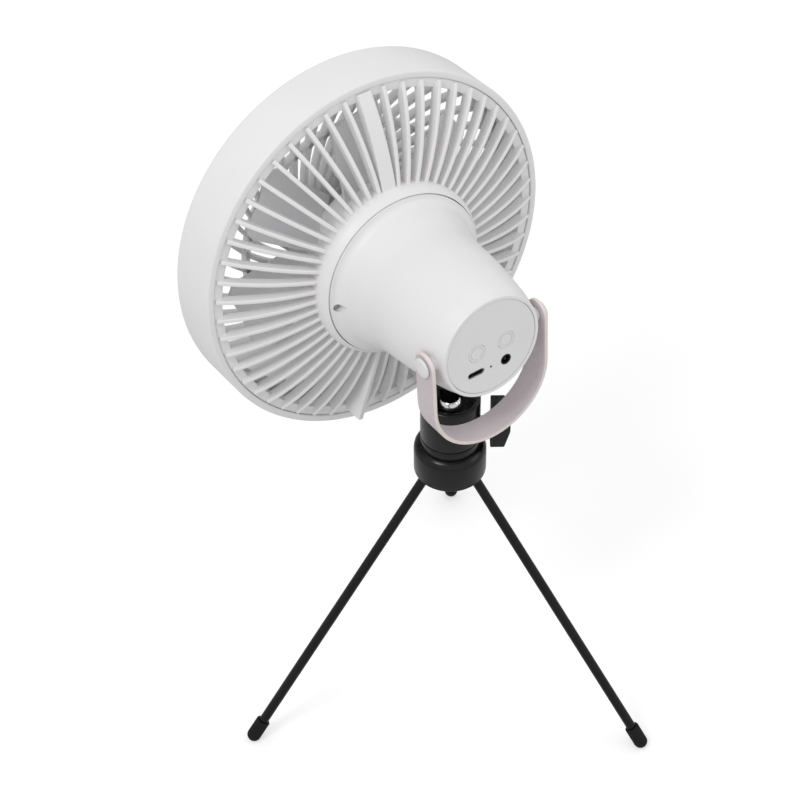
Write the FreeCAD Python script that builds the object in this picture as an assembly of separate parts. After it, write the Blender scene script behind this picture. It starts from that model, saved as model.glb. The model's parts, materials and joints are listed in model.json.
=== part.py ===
import FreeCAD, Part
import math
import os
from FreeCAD import Vector

# Portable camping fan: a drum fan head on a mini ball head and a folding three-leg stand.
# Lengths are millimetres, angles are degrees. +Z is up, the origin is on the floor under the
# stand's axis, and the back of the head looks towards +Y.

# Clearances
joint_clearance = 0.05      # round parts that turn in each other
seat_gap = 0.2              # between a piece and the seat that carries it
swing_gap = 0.3             # beside pieces that swing
button_gap = 0.15           # round a push button

# Stand
leg_angles = (354.0, 114.0, 234.0)
leg_radius = 2.45
leg_length = 186.0          # pivot to the centre of the foot's round end
leg_splay = 35.3            # from the vertical, against the stop
pivot_radius = 8.2          # from the stand's axis to a leg pivot
pivot_pin_radius = 1.0
pivot_pin_length = 10.0
foot_radius = 3.65
foot_length = 10.0
foot_socket_depth = 8.0
foot_flat_depth = 0.35      # how far the rubber is flattened where it stands
collar_radius = 17.7
collar_wall = 1.3
collar_height = 18.2
collar_top_thickness = 3.4
collar_shoulder = 4.6
collar_lip = 0.7
pivot_above_collar_foot = 7.0
slot_top_clearance = 0.9
centre_screw_radius = 3.1
centre_screw_head_radius = 4.8
centre_screw_head_height = 1.6

# Ball head
housing_radius = 14.5
housing_base_height = 5.4
housing_groove_depth = 0.5
housing_groove_width = 0.6
housing_rim_round = 1.4
ball_radius = 7.0
ball_above_collar = 23.9    # ball centre above the collar's top
ball_lip_height = 1.2       # the retaining lip above the ball's centre
dish_rim_height = 6.8       # housing top above the ball's centre
dish_rim_radius = 12.6
cup_height = 10.5
cup_top_below_ball = 2.5
cup_floor = 3.0
housing_floor = 3.8
knob_angle = 146.0
knob_below_ball = 11.2
knob_start = 20.0
knob_depth = 9.2
knob_edge_depth = 6.4
knob_length = 22.7
knob_width = 9.6
knob_crown = 4.0
knob_neck_radius = 4.0
clamp_screw_radius = 2.45
clamp_screw_grip = 4.0
neck_radius = 4.7
neck_flare_radius = 6.2
neck_flare_height = 4.0
platform_radius = 10.5
platform_thickness = 3.0
pad_thickness = 1.5
pad_inset = 0.5
head_seat_above_ball = 23.0
stud_radius = 3.175         # quarter-inch camera thread
stud_rise = 7.0
head_pitch = 6.0            # back of the head raised

# Head, placed from the plane of the drum's rear rim; stations run backwards from it
stem_station = 53.5
hub_axis_above_ball = 59.7
rim_radius = 93.5
drum_depth = 30.0
drum_wall = 2.2
drum_front_round = 3.0
drum_rear_round = 1.0
rear_lip_radius = 90.0
rear_lip_depth = 5.0
front_seat_depth = 2.4
front_ring_radius = 88.3
groove_gap = 0.4

# Rear grille
band_inner_radius = 85.1
band_depth = 6.0
band_drop = 0.7
fin_count = 53
fin_thickness = 2.0
fin_depth = 5.0
fin_tip_radius = 89.4
fin_tip_station = 0.7
fin_crown_radius = 67.0
fin_crown_station = 10.4
foot_rib_indices = (0, 24, 29)
wide_rib_width = 7.4
foot_rib_station = 8.6
collar_ring_radius = 44.5
collar_ring_station = 15.4
collar_ring_back = 22.0
hub_flange_radius = 41.4
plate_station = 8.5
plate_thickness = 3.0
bearing_tube_radius = 6.2
bearing_tube_length = 22.5

# Hub
hub_wall = 2.2
hub_flare_station = 22.4
hub_neck = ((38.7, 26.5), (36.3, 42.0), (31.2, 60.5), (27.7, 78.0), (26.3, 90.0))
hub_end_station = 91.4
hub_mouth_radius = 24.4
cap_thickness = 2.2
cap_ledge = 2.0
cap_ledge_depth = 3.6
cap_edge_round = 0.3
hub_screw_orbit = 38.0
hub_screw_radius = 1.4
hub_screw_recess_radius = 1.9
hub_screw_recess_depth = 3.0
hub_screw_length = 12.0
mount_boss_radius = 11.0
insert_radius = 5.0
insert_length = 9.0
insert_roof = 1.4

# Controls on the end cap, seen from behind: +across is the viewer's right, +up is up
button_radius = 4.4
button_spread = 8.0
button_travel = 0.6
button_flange = 0.8
button_flange_thickness = 1.0
button_ring_radius = 3.4
button_ring_width = 0.35
button_ring_depth = 0.3
port_row = -11.0
usb_across = -9.1
usb_width = 8.94
usb_height = 3.16
usb_wall = 0.35
usb_tongue = 0.7
usb_tongue_width = 6.2
jack_across = 7.4
jack_radius = 4.0
jack_bore = 2.7
jack_pin_radius = 0.9
lens_across = -0.9
lens_radius = 0.55
board_thickness = 1.6
switch_radius = 2.6
switch_clearance = 0.3

# Cells
cell_radius = 9.2
cell_length = 65.0
cell_spacing = 19.0
cell_button_radius = 2.8
cell_button_height = 1.0
cradle_thickness = 3.0
cradle_wall = 2.0
cradle_front_gap = 2.5

# Motor and impeller
bearing_radius = 4.0
bearing_width = 4.0
shaft_radius = 1.5
shaft_tail = 2.5
stator_radius = 16.5
stator_core_radius = 9.5
stator_length = 15.0
stator_teeth = 9
stator_tooth_width = 3.6
stator_shoe_angle = 30.0
stator_shoe_depth = 1.6
rotor_gap = 0.5
rotor_wall = 2.0
rotor_length = 24.0
rotor_from_plate = 1.5
impeller_hub_radius = 31.0
impeller_hub_wall = 1.8
impeller_hub_round = 4.0
impeller_clear_plate = 2.0
blade_count = 7
blade_tip_radius = 78.5
blade_thickness = 1.5
blade_root_chord = 27.0
blade_tip_chord = 38.0
blade_root_pitch = 44.0
blade_tip_pitch = 30.0
blade_camber = 2.6
blade_station = -12.0
blade_corner_round = 9.0

# Front grille and lamp
front_ring_width = 4.0
front_rib_count = 48
front_rib_width = 1.5
front_rib_depth = 2.6
front_rib_swirl = 26.0
front_mid_ring_radius = 57.0
lamp_cup_radius = 26.5
lamp_radius = 22.5
lamp_cup_depth = 6.0
lamp_floor = 1.0
lamp_board_thickness = 1.6
lens_rim_thickness = 1.6
lens_dome = 2.2

# Carry strap
strap_station = 84.0
strap_half_width = 31.3
strap_straight = 23.8
strap_breadth = 13.6
strap_thickness = 2.0
strap_lean = 3.5            # how far the strap hangs from the head's own vertical
strap_pin_radius = 2.4
strap_pin_head_radius = 4.9
strap_pin_head_height = 1.2
strap_boss_radius = 5.4

# Heights that follow
foot_centre_height = foot_radius - foot_flat_depth
pivot_height = foot_centre_height + leg_length * math.cos(math.radians(leg_splay))
collar_foot = pivot_height - pivot_above_collar_foot
collar_top = collar_foot + collar_height
ball_height = collar_top + ball_above_collar
housing_foot = collar_top + seat_gap
housing_joint = housing_foot + housing_base_height
drum_front = -drum_depth
cap_inner = hub_end_station - seat_gap - cap_thickness
cap_outer = cap_inner + cap_thickness
board_back = cap_inner - cap_ledge_depth
board_front = board_back - board_thickness
plate_back = plate_station + plate_thickness


def path_face(steps, to_space):
    """Close an outline of straight steps (a, b) and arcs ((a, b) via, (a, b) end)."""
    here = steps[0]
    edges = []
    for step in list(steps[1:]) + [steps[0]]:
        if isinstance(step[0], tuple):
            via, end = step
            edges.append(Part.Arc(to_space(*here), to_space(*via), to_space(*end)).toShape())
        else:
            end = step
            if math.dist(here, end) > 1e-6:
                edges.append(Part.LineSegment(to_space(*here), to_space(*end)).toShape())
        here = end
    return Part.Face(Part.Wire(edges))


def turned_upright(steps):
    """Solid of revolution about the stand's axis, from (radius, height) steps."""
    face = path_face(steps, lambda r, z: Vector(r, 0, z))
    return face.revolve(Vector(0, 0, 0), Vector(0, 0, 1), 360)


def turned_in_head(steps):
    """Solid of revolution about the head's axis, from (radius, station) steps."""
    face = path_face(steps, lambda r, s: Vector(r, s, 0))
    return face.revolve(Vector(0, 0, 0), Vector(0, 1, 0), 360)


def rod_in_head(radius, start, end, across=0.0, up=0.0):
    """Cylinder along the head's axis; across is the viewer's right, seen from behind."""
    return Part.makeCylinder(radius, end - start, Vector(-across, start, up), Vector(0, 1, 0))


def around_head(shape, angle):
    """Copy turned about the head's axis, counter-clockwise as seen from behind."""
    copy = shape.copy()
    copy.rotate(Vector(0, 0, 0), Vector(0, 1, 0), angle)
    return copy


def around_stand(shape, angle):
    copy = shape.copy()
    copy.rotate(Vector(0, 0, 0), Vector(0, 0, 1), angle)
    return copy


def on_ball(shape):
    """From the ball's own frame, its stem along +Z, to the leaning stem."""
    copy = shape.copy()
    copy.rotate(Vector(0, 0, 0), Vector(1, 0, 0), head_pitch)
    copy.translate(Vector(0, 0, ball_height))
    return copy


def in_head(shape):
    """From the drum's rim plane to the head's place on the stem."""
    copy = shape.copy()
    copy.translate(Vector(0, -stem_station, hub_axis_above_ball))
    return on_ball(copy)


def arc_middle(start, end, bulge):
    """Point half way along an arc whose middle stands off its chord by bulge."""
    run = (end[0] - start[0], end[1] - start[1])
    length = math.hypot(*run)
    middle = ((start[0] + end[0]) / 2, (start[1] + end[1]) / 2)
    return (middle[0] + run[1] / length * bulge, middle[1] - run[0] / length * bulge)


def dome_middle(edge_radius, edge, apex):
    """Point half way out on a shallow dome centred on the axis."""
    rise = edge - apex
    curve = (edge_radius ** 2 + rise ** 2) / (2 * rise)
    half = edge_radius / 2
    return (half, apex + curve - math.copysign(math.sqrt(curve ** 2 - half ** 2), curve))


def corner(centre, radius, angle):
    """Point on a round corner."""
    turn = math.radians(angle)
    return (centre[0] + radius * math.cos(turn), centre[1] + radius * math.sin(turn))


def round_steps(centre, radius, start, end):
    """The first point of a round corner, and then its arc."""
    return [
        corner(centre, radius, start),
        (corner(centre, radius, (start + end) / 2), corner(centre, radius, end)),
    ]


def prism_x(outline, start, end):
    """Outline in (y, z) steps, drawn out along X."""
    face = path_face(outline, lambda y, z: Vector(start, y, z))
    return face.extrude(Vector(end - start, 0, 0))


# Stand

def tripod_collar():
    skirt = collar_radius - collar_wall
    roof = collar_top - collar_top_thickness
    shoulder = (collar_radius - collar_shoulder, collar_top - collar_shoulder)
    steps = [
        (skirt, collar_foot),
        (collar_radius - collar_lip, collar_foot),
        (collar_radius, collar_foot + collar_lip),
    ]
    steps += round_steps(shoulder, collar_shoulder, 0, 90)
    steps += [
        (centre_screw_radius + joint_clearance, collar_top),
        (centre_screw_radius + joint_clearance, roof),
        (skirt, roof),
    ]
    return turned_upright(steps)


def leg_slot():
    """Room for one leg to swing between the vertical and its splay, pivot on +X."""
    half = leg_radius + swing_gap
    splay = math.radians(leg_splay)
    stop_top = (pivot_radius + half * math.cos(splay), pivot_height + half * math.sin(splay))
    below = collar_foot - 1.0
    stop_foot = (stop_top[0] + (stop_top[1] - below) * math.tan(splay), below)
    roof = pivot_height + leg_radius + slot_top_clearance
    steps = [
        (pivot_radius - half, below),
        (pivot_radius - half, roof),
        (stop_top[0], roof),
        stop_top,
        stop_foot,
    ]
    face = path_face(steps, lambda r, z: Vector(r, -half, z))
    return face.extrude(Vector(0, 2 * half, 0))


def leg_carrier():
    radius = collar_radius - collar_wall - joint_clearance
    roof = collar_top - collar_top_thickness
    body = Part.makeCylinder(radius, roof - collar_foot, Vector(0, 0, collar_foot))
    bore = Part.makeCylinder(centre_screw_radius + joint_clearance, collar_height, Vector(0, 0, collar_foot - 1))
    cuts = [bore]
    slot = leg_slot()
    pin_hole = pivot_pin(joint_clearance / 2)
    for angle in leg_angles:
        cuts.append(around_stand(slot, angle))
        cuts.append(around_stand(pin_hole, angle))
    return body.cut(cuts)


def pivot_pin(extra=0.0):
    start = Vector(pivot_radius, -pivot_pin_length / 2 - extra, pivot_height)
    return Part.makeCylinder(pivot_pin_radius + extra, pivot_pin_length + 2 * extra, start, Vector(0, 1, 0))


def leg_pivot_pins():
    return Part.makeCompound([around_stand(pivot_pin(), angle) for angle in leg_angles])


def centre_screw():
    head = Part.makeCylinder(
        centre_screw_head_radius,
        centre_screw_head_height,
        Vector(0, 0, collar_foot - centre_screw_head_height),
    )
    top = housing_joint - seat_gap
    shank = Part.makeCylinder(centre_screw_radius, top - collar_foot, Vector(0, 0, collar_foot))
    return head.fuse(shank).removeSplitter()


def splayed(shape, angle):
    """From a leg hanging straight down from the origin to its place on the stand."""
    copy = shape.copy()
    copy.rotate(Vector(0, 0, 0), Vector(0, 1, 0), -leg_splay)
    copy.translate(Vector(pivot_radius, 0, pivot_height))
    return around_stand(copy, angle)


def leg_rod(angle):
    tail = foot_socket_depth - foot_length
    rod = Part.makeCylinder(leg_radius, leg_length + tail, Vector(0, 0, -leg_length - tail))
    eye = Part.makeSphere(leg_radius)
    hole = Part.makeCylinder(
        pivot_pin_radius + joint_clearance,
        4 * leg_radius,
        Vector(0, -2 * leg_radius, 0),
        Vector(0, 1, 0),
    )
    return splayed(rod.fuse(eye).removeSplitter().cut(hole), angle)


def leg_foot(angle):
    inner = leg_radius + joint_clearance / 2
    steps = [
        (inner, foot_length),
        (inner, foot_length - foot_socket_depth),
        (0, foot_length - foot_socket_depth),
        (0, -foot_radius),
        (corner((0, 0), foot_radius, -45), (foot_radius, 0)),
    ]
    steps += round_steps((foot_radius - foot_flat_depth, foot_length - foot_flat_depth), foot_flat_depth, 0, 90)
    foot = turned_upright(steps)
    foot.translate(Vector(0, 0, -leg_length))
    foot = splayed(foot, angle)
    reach = pivot_radius + leg_length + foot_radius
    floor = Part.makeBox(2 * reach, 2 * reach, foot_radius, Vector(-reach, -reach, -foot_radius))
    return foot.cut(floor)


# Ball head

def housing_base():
    bore = centre_screw_radius + joint_clearance
    top = housing_joint
    groove = housing_radius - housing_groove_depth
    return turned_upright([
        (bore, housing_foot),
        (housing_radius - housing_groove_depth, housing_foot),
        (housing_radius, housing_foot + housing_groove_depth),
        (housing_radius, top - housing_groove_width),
        (groove, top - housing_groove_width),
        (groove, top),
        (bore, top),
    ])


def ball_housing():
    bore = ball_radius + joint_clearance
    lip = math.sqrt(bore ** 2 - ball_lip_height ** 2)
    lip_turn = math.degrees(math.asin(ball_lip_height / bore))
    rim = ball_height + dish_rim_height
    rim_corner = (housing_radius - housing_rim_round, rim - housing_rim_round)
    floor = housing_joint + housing_floor
    steps = [(0, housing_joint), (housing_radius, housing_joint)]
    steps += round_steps(rim_corner, housing_rim_round, 0, 90)
    steps += [
        (dish_rim_radius, rim),
        (lip, ball_height + ball_lip_height),
        (corner((0, ball_height), bore, lip_turn / 2), (bore, ball_height)),
        (bore, floor),
        (0, floor),
    ]
    body = turned_upright(steps)
    screw_hole = Part.makeCylinder(
        clamp_screw_radius + joint_clearance,
        housing_radius,
        Vector(ball_radius - 1, 0, ball_height - knob_below_ball),
        Vector(1, 0, 0),
    )
    return body.cut(around_stand(screw_hole, knob_angle))


def clamp_cup():
    radius = ball_radius
    dish = ball_radius + joint_clearance
    top = ball_height - cup_top_below_ball
    foot = top - cup_height
    dish_bottom = (0, ball_height - dish)
    dish_edge = (math.sqrt(dish ** 2 - cup_top_below_ball ** 2), top)
    edge_turn = math.degrees(math.asin(-cup_top_below_ball / dish))
    via = corner((0, ball_height), dish, (edge_turn - 90) / 2)
    return turned_upright([
        dish_bottom,
        (via, dish_edge),
        (radius, top),
        (radius, foot),
        (0, foot),
    ])


def clamp_screw():
    start = ball_radius + swing_gap
    end = knob_start + clamp_screw_grip
    screw = Part.makeCylinder(
        clamp_screw_radius,
        end - start,
        Vector(start, 0, ball_height - knob_below_ball),
        Vector(1, 0, 0),
    )
    return around_stand(screw, knob_angle)


def clamp_knob():
    half_length = knob_length / 2
    end = knob_start + knob_depth
    side = path_face(
        [
            (knob_start, -half_length),
            (knob_start + knob_edge_depth, -half_length),
            (end, -knob_crown),
            (end, knob_crown),
            (knob_start + knob_edge_depth, half_length),
            (knob_start, half_length),
        ],
        lambda x, z: Vector(x, -knob_width, z),
    ).extrude(Vector(0, 2 * knob_width, 0))
    half_width = knob_width / 2
    round_centre = half_length - half_width
    plan = [(-half_width, -round_centre)]
    plan.append(((0, -half_length), (half_width, -round_centre)))
    plan.append((half_width, round_centre))
    plan.append(((0, half_length), (-half_width, round_centre)))
    bar = prism_x(plan, knob_start - 1, end + 1)
    neck_start = housing_radius + swing_gap
    neck = Part.makeCylinder(
        knob_neck_radius,
        knob_start - neck_start,
        Vector(neck_start, 0, 0),
        Vector(1, 0, 0),
    )
    hole = Part.makeCylinder(
        clamp_screw_radius,
        knob_start + clamp_screw_grip - neck_start,
        Vector(neck_start, 0, 0),
        Vector(1, 0, 0),
    )
    knob = bar.common(side).fuse(neck).removeSplitter().cut(hole)
    knob.translate(Vector(0, 0, ball_height - knob_below_ball))
    return around_stand(knob, knob_angle)


neck_start_height = math.sqrt(ball_radius ** 2 - neck_radius ** 2)
platform_top = head_seat_above_ball - pad_thickness
platform_foot = platform_top - platform_thickness


def lock_ball():
    ball = Part.makeSphere(ball_radius)
    lid = Part.makeCylinder(ball_radius, ball_radius, Vector(0, 0, neck_start_height))
    return on_ball(ball.cut(lid))


def ball_stem():
    flare = platform_foot - neck_flare_height
    bend = arc_middle((neck_radius, flare), (neck_flare_radius, platform_foot), 0.4)
    return on_ball(turned_upright([
        (0, neck_start_height),
        (neck_radius, neck_start_height),
        (neck_radius, flare),
        (bend, (neck_flare_radius, platform_foot)),
        (0, platform_foot),
    ]))


def camera_platform():
    bore = stud_radius
    edge = pad_inset
    return on_ball(turned_upright([
        (0, platform_foot),
        (platform_radius - edge, platform_foot),
        (platform_radius, platform_foot + edge),
        (platform_radius, platform_top - edge),
        (platform_radius - edge, platform_top),
        (bore, platform_top),
        (bore, platform_foot + platform_thickness / 2),
        (0, platform_foot + platform_thickness / 2),
    ]))


def platform_pad():
    inner = stud_radius + seat_gap
    outer = platform_radius - pad_inset
    return on_ball(turned_upright([
        (inner, platform_top),
        (outer, platform_top),
        (outer, head_seat_above_ball),
        (inner, head_seat_above_ball),
    ]))


def mount_stud():
    start = platform_foot + platform_thickness / 2
    top = head_seat_above_ball + stud_rise
    return on_ball(Part.makeCylinder(stud_radius, top - start, Vector(0, 0, start)))


# Drum

def drum_shroud():
    inner = rim_radius - drum_wall
    front_centre = (rim_radius - drum_front_round, drum_front + drum_front_round)
    rear_centre = (rim_radius - drum_rear_round, -drum_rear_round)
    steps = [
        (front_ring_radius, drum_front),
        (front_ring_radius, drum_front + front_seat_depth),
        (inner, drum_front + front_seat_depth),
        (inner, -rear_lip_depth),
        (rear_lip_radius, -rear_lip_depth),
        (rear_lip_radius, 0),
    ]
    steps += round_steps(rear_centre, drum_rear_round, 90, 0)
    steps += round_steps(front_centre, drum_front_round, 0, -90)
    return in_head(turned_in_head(steps))


def fin_blank(thickness, tip_station):
    """Radial plate of the rear grille, on the viewer's right, crest bowed outwards."""
    inner = collar_ring_radius - 1.0
    foot = fin_depth
    crest = [
        (-fin_tip_radius, tip_station),
        ((-fin_crown_radius, max(fin_crown_station, tip_station)), (-inner, collar_ring_station)),
    ]
    if tip_station > fin_tip_station:
        crest = [(-fin_tip_radius, tip_station), (-inner, collar_ring_station)]
    outline = crest + [
        (-inner, collar_ring_station - foot),
        ((-fin_crown_radius, fin_crown_station - foot), (-band_inner_radius - 1, -band_depth + band_drop)),
        (-band_inner_radius - 1, -band_drop - 1.0),
        (-fin_tip_radius, -band_drop - 1.0),
    ]
    face = path_face(outline, lambda x, y: Vector(x, y, -thickness / 2))
    return face.extrude(Vector(0, 0, thickness))


def rear_grille():
    band_outer = rear_lip_radius - groove_gap
    band = turned_in_head([
        (band_inner_radius, -band_depth),
        (band_outer, -band_depth),
        (band_outer, -band_drop),
        (band_inner_radius, -band_drop),
    ])
    recess = hub_flange_radius + groove_gap
    top = collar_ring_back
    bend = arc_middle((collar_ring_radius, collar_ring_station + 2), (recess, top), 0.9)
    ring = turned_in_head([
        (bearing_radius, plate_station),
        (collar_ring_radius, plate_station),
        (collar_ring_radius, collar_ring_station + 2),
        (bend, (recess, top)),
        (recess, plate_back),
        (bearing_radius, plate_back),
    ])
    tube_front = plate_station - bearing_tube_length
    tube = turned_in_head([
        (bearing_radius, tube_front),
        (bearing_tube_radius, tube_front),
        (bearing_tube_radius, plate_station + 1),
        (bearing_radius, plate_station + 1),
    ])
    fin = fin_blank(fin_thickness, fin_tip_station)
    wide = fin_blank(wide_rib_width, fin_tip_station)
    foot = fin_blank(wide_rib_width, foot_rib_station)
    pieces = [ring, tube]
    for index in range(fin_count):
        blank = fin
        if index in foot_rib_indices:
            blank = foot if index else wide
        pieces.append(around_head(blank, 90 + index * 360 / fin_count))
    grille = band.multiFuse(pieces)
    for side in (0, 180):
        grille = grille.cut(around_head(screw_shank(joint_clearance), side))
    return in_head(grille)


def front_rib():
    """One swirled rib of the front grille, in the plane of the drum's front."""
    inner = lamp_cup_radius - 1.0
    outer = front_ring_radius - front_ring_width + 1.0
    half = front_rib_width / 2

    def spot(radius, turn, side):
        angle = math.radians(turn)
        along = (math.cos(angle), math.sin(angle))
        return (radius * along[0] - side * half * along[1], radius * along[1] + side * half * along[0])

    middle = (inner + outer) / 2
    bow = front_rib_swirl * 0.62
    outline = [
        spot(inner, 0, 1),
        (spot(middle, bow, 1), spot(outer, front_rib_swirl, 1)),
        spot(outer, front_rib_swirl, -1),
        (spot(middle, bow, -1), spot(inner, 0, -1)),
    ]
    face = path_face(outline, lambda a, b: Vector(-a, drum_front, -b))
    return face.extrude(Vector(0, front_rib_depth, 0))


def flat_ring(inner, outer, start, end):
    return turned_in_head([(inner, start), (outer, start), (outer, end), (inner, end)])


def front_grille():
    outer = front_ring_radius - seat_gap
    half = front_rib_width / 2
    pieces = [
        flat_ring(front_mid_ring_radius - half, front_mid_ring_radius + half, drum_front, drum_front + front_rib_depth),
        turned_in_head([
            (0, drum_front + lamp_cup_depth - lamp_floor),
            (lamp_radius + seat_gap, drum_front + lamp_cup_depth - lamp_floor),
            (lamp_radius + seat_gap, drum_front),
            (lamp_cup_radius, drum_front),
            (lamp_cup_radius, drum_front + lamp_cup_depth),
            (0, drum_front + lamp_cup_depth),
        ]),
    ]
    rib = front_rib()
    for index in range(front_rib_count):
        pieces.append(around_head(rib, index * 360 / front_rib_count))
    ring = flat_ring(front_ring_radius - front_ring_width, outer, drum_front, drum_front + front_rib_depth)
    return in_head(ring.multiFuse(pieces))


def lamp_board():
    back = drum_front + lamp_cup_depth - lamp_floor
    return in_head(rod_in_head(lamp_radius, back - lamp_board_thickness, back))


def lamp_lens():
    inner = drum_front + lamp_cup_depth - lamp_floor - lamp_board_thickness
    rim = drum_front
    skirt = lamp_radius - lens_rim_thickness
    face = rim - lens_dome
    under = face + lens_rim_thickness
    top = dome_middle(lamp_radius, rim, face)
    below = dome_middle(skirt, rim + lens_rim_thickness, under)
    return in_head(turned_in_head([
        (0, face),
        (top, (lamp_radius, rim)),
        (lamp_radius, inner),
        (skirt, inner),
        (skirt, rim + lens_rim_thickness),
        (below, (0, under)),
    ]))


# Hub

def hub_curve(inset):
    poles = [Vector(radius - inset, station, 0) for radius, station in hub_neck]
    curve = Part.BSplineCurve()
    curve.interpolate(poles)
    return curve.toShape()


def hub_skin(inset, end_station):
    """Outside of the hub, or with an inset its inside, as one turned solid."""
    flange = hub_flange_radius - inset
    root = Vector(hub_neck[0][0] - inset, hub_neck[0][1], 0)
    tip = Vector(hub_neck[-1][0] - inset, hub_neck[-1][1], 0)
    mouth = Vector(tip.x, end_station, 0)
    base = Vector(flange, plate_back, 0)
    lip = Vector(flange, hub_flare_station, 0)
    flare = Vector(root.x + 0.35 * (lip.x - root.x), hub_flare_station + 1.3, 0)
    edges = [
        Part.LineSegment(Vector(0, plate_back, 0), base).toShape(),
        Part.LineSegment(base, lip).toShape(),
        Part.Arc(lip, flare, root).toShape(),
        hub_curve(inset),
    ]
    if end_station > tip.y:
        if inset == 0:
            turn = end_station - tip.y
            middle = Vector(tip.x - 0.3 * turn, tip.y + 0.7 * turn, 0)
            mouth = Vector(tip.x - turn, end_station, 0)
            edges.append(Part.Arc(tip, middle, mouth).toShape())
        else:
            edges.append(Part.LineSegment(tip, mouth).toShape())
    else:
        mouth = tip
    edges.append(Part.LineSegment(mouth, Vector(0, mouth.y, 0)).toShape())
    edges.append(Part.LineSegment(Vector(0, mouth.y, 0), Vector(0, plate_back, 0)).toShape())
    face = Part.Face(Part.Wire(edges))
    return face.revolve(Vector(0, 0, 0), Vector(0, 1, 0), 360)


def strap_boss():
    outer = strap_half_width - strap_thickness / 2 - swing_gap
    inner = hub_mouth_radius
    return Part.makeCylinder(strap_boss_radius, outer - inner, Vector(inner, strap_station, 0), Vector(1, 0, 0))


def screw_shank(extra):
    """A hub screw's shank, on the viewer's right."""
    start = hub_flare_station - hub_screw_recess_depth - hub_screw_length
    end = hub_flare_station - hub_screw_recess_depth
    return rod_in_head(hub_screw_radius + extra, start, end, across=hub_screw_orbit)


def mount_boss():
    foot = head_seat_above_ball - hub_axis_above_ball
    height = insert_length + insert_roof
    return Part.makeCylinder(mount_boss_radius, height, Vector(0, stem_station, foot), Vector(0, 0, 1))


def hub_shell():
    outside = hub_skin(0, hub_end_station)
    inside = hub_skin(hub_wall, hub_neck[-1][1])
    ledge_cut = rod_in_head(hub_mouth_radius - cap_ledge, plate_back, hub_end_station + 1)
    mouth_cut = rod_in_head(hub_mouth_radius, cap_inner, hub_end_station + 1)
    ledge = flat_ring(hub_mouth_radius - cap_ledge, hub_neck[-1][0] - hub_wall / 2, board_back, cap_inner)
    shell = outside.cut(inside)
    screw_boss = rod_in_head(
        hub_screw_recess_radius + hub_wall,
        plate_back,
        hub_flare_station + hub_wall,
        across=hub_screw_orbit,
    ).common(outside)
    bosses = [around_head(screw_boss, side) for side in (0, 180)]
    bosses.append(mount_boss())
    bosses.append(strap_boss())
    bosses.append(around_head(strap_boss(), 180))
    shell = shell.multiFuse([ledge] + bosses).cut([ledge_cut, mouth_cut])
    insert_hole = Part.makeCylinder(
        insert_radius,
        insert_length,
        Vector(0, stem_station, head_seat_above_ball - hub_axis_above_ball),
        Vector(0, 0, 1),
    )
    recess = rod_in_head(
        hub_screw_recess_radius,
        hub_flare_station - hub_screw_recess_depth,
        hub_flare_station + 2 * hub_wall,
        across=hub_screw_orbit,
    )
    cuts = [insert_hole, strap_pin_hole(), around_head(strap_pin_hole(), 180)]
    for side in (0, 180):
        cuts.append(around_head(recess, side))
        cuts.append(around_head(screw_shank(joint_clearance), side))
    return in_head(shell.cut(cuts))


def hub_screws():
    head_height = hub_screw_recess_radius
    start = hub_flare_station - hub_screw_recess_depth
    head = rod_in_head(
        hub_screw_recess_radius - joint_clearance,
        start,
        start + head_height,
        across=hub_screw_orbit,
    )
    screw = head.fuse(screw_shank(0)).removeSplitter()
    return in_head(Part.makeCompound([around_head(screw, side) for side in (0, 180)]))


def socket_insert():
    foot = head_seat_above_ball - hub_axis_above_ball
    place = Vector(0, stem_station, foot)
    body = Part.makeCylinder(insert_radius, insert_length, place, Vector(0, 0, 1))
    bore = Part.makeCylinder(stud_radius + joint_clearance, insert_length, place, Vector(0, 0, 1))
    return in_head(body.cut(bore))


def usb_slot(width, height, start, end):
    """Round-ended block along the head's axis at the charging port."""
    half = height / 2
    reach = width / 2 - half
    outline = [
        (-reach, -half),
        (reach, -half),
        ((reach + half, 0), (reach, half)),
        (-reach, half),
        ((-reach - half, 0), (-reach, -half)),
    ]
    face = path_face(outline, lambda a, b: Vector(-usb_across - a, start, port_row + b))
    return face.extrude(Vector(0, end - start, 0))


def end_cap():
    radius = hub_mouth_radius - button_gap
    edge = cap_edge_round
    plate = turned_in_head([
        (0, cap_inner),
        (radius, cap_inner),
        (radius, cap_outer - edge),
        (radius - edge, cap_outer),
        (0, cap_outer),
    ])
    over = cap_outer + 1
    cuts = [
        usb_slot(usb_width + 2 * button_gap, usb_height + 2 * button_gap, cap_inner - 1, over),
        rod_in_head(jack_bore + button_gap, cap_inner - 1, over, jack_across, port_row),
        rod_in_head(lens_radius + joint_clearance, cap_inner - 1, over, lens_across, port_row),
    ]
    for side in (-1, 1):
        cuts.append(rod_in_head(button_radius + button_gap, cap_inner - 1, over, side * button_spread))
    return in_head(plate.cut(cuts))


def push_button(side):
    """A flush button with an engraved ring, kept in by its flange."""
    back = cap_inner - button_gap
    front = back - button_flange_thickness
    groove = button_ring_radius - button_ring_width
    top = cap_outer
    low = top - button_ring_depth
    button = turned_in_head([
        (0, front),
        (button_radius + button_flange, front),
        (button_radius + button_flange, back),
        (button_radius, back),
        (button_radius, top),
        (button_ring_radius, top),
        (button_ring_radius, low),
        (groove, low),
        (groove, top),
        (0, top),
    ])
    button.translate(Vector(-side * button_spread, 0, 0))
    return in_head(button)


def button_switches():
    top = cap_inner - button_gap - button_flange_thickness - button_travel - switch_clearance
    switches = [
        rod_in_head(switch_radius, board_back, top, side * button_spread)
        for side in (-1, 1)
    ]
    return in_head(Part.makeCompound(switches))


def control_board():
    return in_head(rod_in_head(hub_mouth_radius - joint_clearance, board_front, board_back))


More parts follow.
